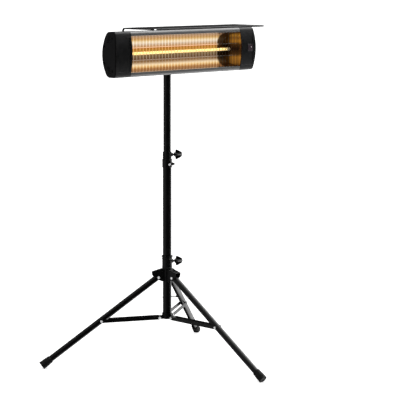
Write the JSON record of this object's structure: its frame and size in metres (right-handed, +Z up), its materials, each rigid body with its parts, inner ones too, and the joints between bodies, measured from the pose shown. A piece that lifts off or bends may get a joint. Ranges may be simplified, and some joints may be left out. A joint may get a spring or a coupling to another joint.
{
  "type": "patio heater",
  "caption": "Infrared patio heater: a long caged heating head with a flat visor on a telescopic mast and a folding tripod.",
  "frame": {"origin": "on the floor, under the mast's axis, with the legs spread", "axes": "+Z up along the mast, -Y is where the heater faces, +X along the heating tube towards the end cap with the controls"},
  "size_m": [0.9332, 0.8127, 1.373],
  "materials": {
    "black_steel": "satin black powder coat",
    "black_plastic": "fine grained black moulding",
    "knob_plastic": "smooth black moulding",
    "dark_steel": "blackened steel",
    "bright_steel": "zinc-plated and polished",
    "housing_paint": "satin charcoal paint on aluminium",
    "visor_paint": "satin black paint on sheet aluminium",
    "cap_plastic": "fine grained charcoal moulding",
    "black_rubber": "matt",
    "gold_reflector": "gold-anodised mirror sheet",
    "tube_glass": "clear quartz",
    "glowing_element": "glowing carbon element",
    "white_ceramic": "unglazed white",
    "guard_wire": "bright drawn wire",
    "circuit_board": "green solder mask",
    "wire_sleeve": "woven heat-proof sleeve",
    "lens_plastic": "smoked gloss"
  },
  "bodies": {
    "mast": {"lower_tube": "black_steel", "bottom_hub": "black_plastic", "hub_bolts": "bright_steel", "mast_foot_plug": "black_plastic", "height_clamp": "black_plastic", "clamp_bolt": "dark_steel", "clamp_rivet": "bright_steel"},
    "lock_pin": {"lock_pin": "dark_steel"},
    "collar": {"leg_collar": "black_plastic", "leg_crown": "black_steel", "crown_bolts": "bright_steel"},
    "collar_knob": {"collar_knob": "knob_plastic", "collar_knob_stud": "dark_steel"},
    "height_knob": {"height_knob": "knob_plastic", "height_knob_stud": "dark_steel"},
    "upper_mast": {"upper_tube": "black_steel", "upper_tube_guide": "black_plastic"},
    "leg_1": {"leg_tube_1": "black_steel", "leg_bush_1": "black_plastic", "foot_cap_1": "black_rubber"},
    "leg_2": {"leg_tube_2": "black_steel", "leg_bush_2": "black_plastic", "foot_cap_2": "black_rubber"},
    "leg_3": {"leg_tube_3": "black_steel", "leg_bush_3": "black_plastic", "foot_cap_3": "black_rubber"},
    "stay_1": {"stay_1": "black_steel", "stay_rivets_1": "bright_steel"},
    "stay_2": {"stay_2": "black_steel", "stay_rivets_2": "bright_steel"},
    "stay_3": {"stay_3": "black_steel", "stay_rivets_3": "bright_steel"},
    "swivel_socket": {"mast_socket": "black_steel"},
    "socket_knob": {"socket_knob": "knob_plastic"},
    "head": {"body_shell": "housing_paint", "end_cap_left": "cap_plastic", "end_cap_right": "cap_plastic", "end_seal_left": "black_rubber", "end_seal_right": "black_rubber", "cap_screws": "dark_steel", "reflector": "gold_reflector", "reflector_ends": "gold_reflector", "heat_tube": "tube_glass", "filament": "glowing_element", "tube_holders": "white_ceramic", "guard_grille": "guard_wire", "visor": "visor_paint", "visor_screws": "dark_steel", "rear_bracket": "black_steel", "bracket_screws": "bright_steel", "tilt_bolt": "bright_steel", "cable_gland": "black_plastic", "control_board": "circuit_board", "terminal_block": "white_ceramic", "lead_wires": "wire_sleeve", "receiver_lens": "lens_plastic"},
    "tilt_knob": {"tilt_knob": "knob_plastic"},
    "power_switch": {"power_switch": "black_plastic"}
  },
  "joints": [
    {"name": "collar_slide", "type": "slide", "parent": "mast", "child": "collar", "axis": [0, 0, 1], "range_m": [0, 0.362]},
    {"name": "leg_fold_1", "type": "hinge", "parent": "collar", "child": "leg_1", "pos_m": [0, -0.04, 0.35], "axis": [1, 0, 0], "range_deg": [0, 46.7]},
    {"name": "leg_fold_2", "type": "hinge", "parent": "collar", "child": "leg_2", "pos_m": [0.03464, 0.02, 0.35], "axis": [-0.5, 0.866, 0], "range_deg": [0, 46.7]},
    {"name": "leg_fold_3", "type": "hinge", "parent": "collar", "child": "leg_3", "pos_m": [-0.03464, 0.02, 0.35], "axis": [-0.5, -0.866, 0], "range_deg": [0, 46.7]},
    {"name": "stay_fold_1", "type": "hinge", "parent": "mast", "child": "stay_1", "pos_m": [0, -0.036, 0.182], "axis": [-1, 0, 0], "range_deg": [0, 79]},
    {"name": "stay_fold_2", "type": "hinge", "parent": "mast", "child": "stay_2", "pos_m": [0.03118, 0.018, 0.182], "axis": [0.5, -0.866, 0], "range_deg": [0, 79]},
    {"name": "stay_fold_3", "type": "hinge", "parent": "mast", "child": "stay_3", "pos_m": [-0.03118, 0.018, 0.182], "axis": [0.5, 0.866, 0], "range_deg": [0, 79]},
    {"name": "collar_knob_turn", "type": "hinge", "parent": "collar", "child": "collar_knob", "pos_m": [0, 0, 0.414], "axis": [0.866, -0.5, 0], "range_deg": [0, 540]},
    {"name": "height_knob_turn", "type": "hinge", "parent": "mast", "child": "height_knob", "pos_m": [0, 0, 0.852], "axis": [0.866, -0.5, 0], "range_deg": [0, 540]},
    {"name": "lock_pin_pull", "type": "slide", "parent": "mast", "child": "lock_pin", "axis": [0.866, -0.5, 0], "range_m": [0, 0.06]},
    {"name": "mast_height", "type": "slide", "parent": "mast", "child": "upper_mast", "axis": [0, 0, 1], "range_m": [-0.22, 0.24]},
    {"name": "mast_swivel", "type": "hinge", "parent": "upper_mast", "child": "swivel_socket", "pos_m": [0, 0, 1.23], "axis": [0, 0, 1], "range_deg": [-90, 90]},
    {"name": "socket_knob_turn", "type": "hinge", "parent": "swivel_socket", "child": "socket_knob", "pos_m": [0, 0, 1.222], "axis": [0, 1, 0], "range_deg": [0, 540]},
    {"name": "head_tilt", "type": "hinge", "parent": "swivel_socket", "child": "head", "pos_m": [0, -0.031, 1.272], "axis": [1, 0, 0], "range_deg": [-15, 28]},
    {"name": "tilt_knob_turn", "type": "hinge", "parent": "head", "child": "tilt_knob", "pos_m": [0.0256, -0.031, 1.272], "axis": [1, 0, 0], "range_deg": [0, 540]},
    {"name": "switch_rock", "type": "hinge", "parent": "head", "child": "power_switch", "pos_m": [0.394, -0.077, 1.272], "axis": [0, -1, 0], "range_deg": [0, 10]}
  ],
  "couplings": [
    {"joint": "leg_fold_1", "follows": "collar_slide", "rad_per_m": 2.2515},
    {"joint": "leg_fold_2", "follows": "collar_slide", "rad_per_m": 2.2515},
    {"joint": "leg_fold_3", "follows": "collar_slide", "rad_per_m": 2.2515},
    {"joint": "stay_fold_1", "follows": "collar_slide", "rad_per_m": 3.8088},
    {"joint": "stay_fold_2", "follows": "collar_slide", "rad_per_m": 3.8088},
    {"joint": "stay_fold_3", "follows": "collar_slide", "rad_per_m": 3.8088}
  ]
}
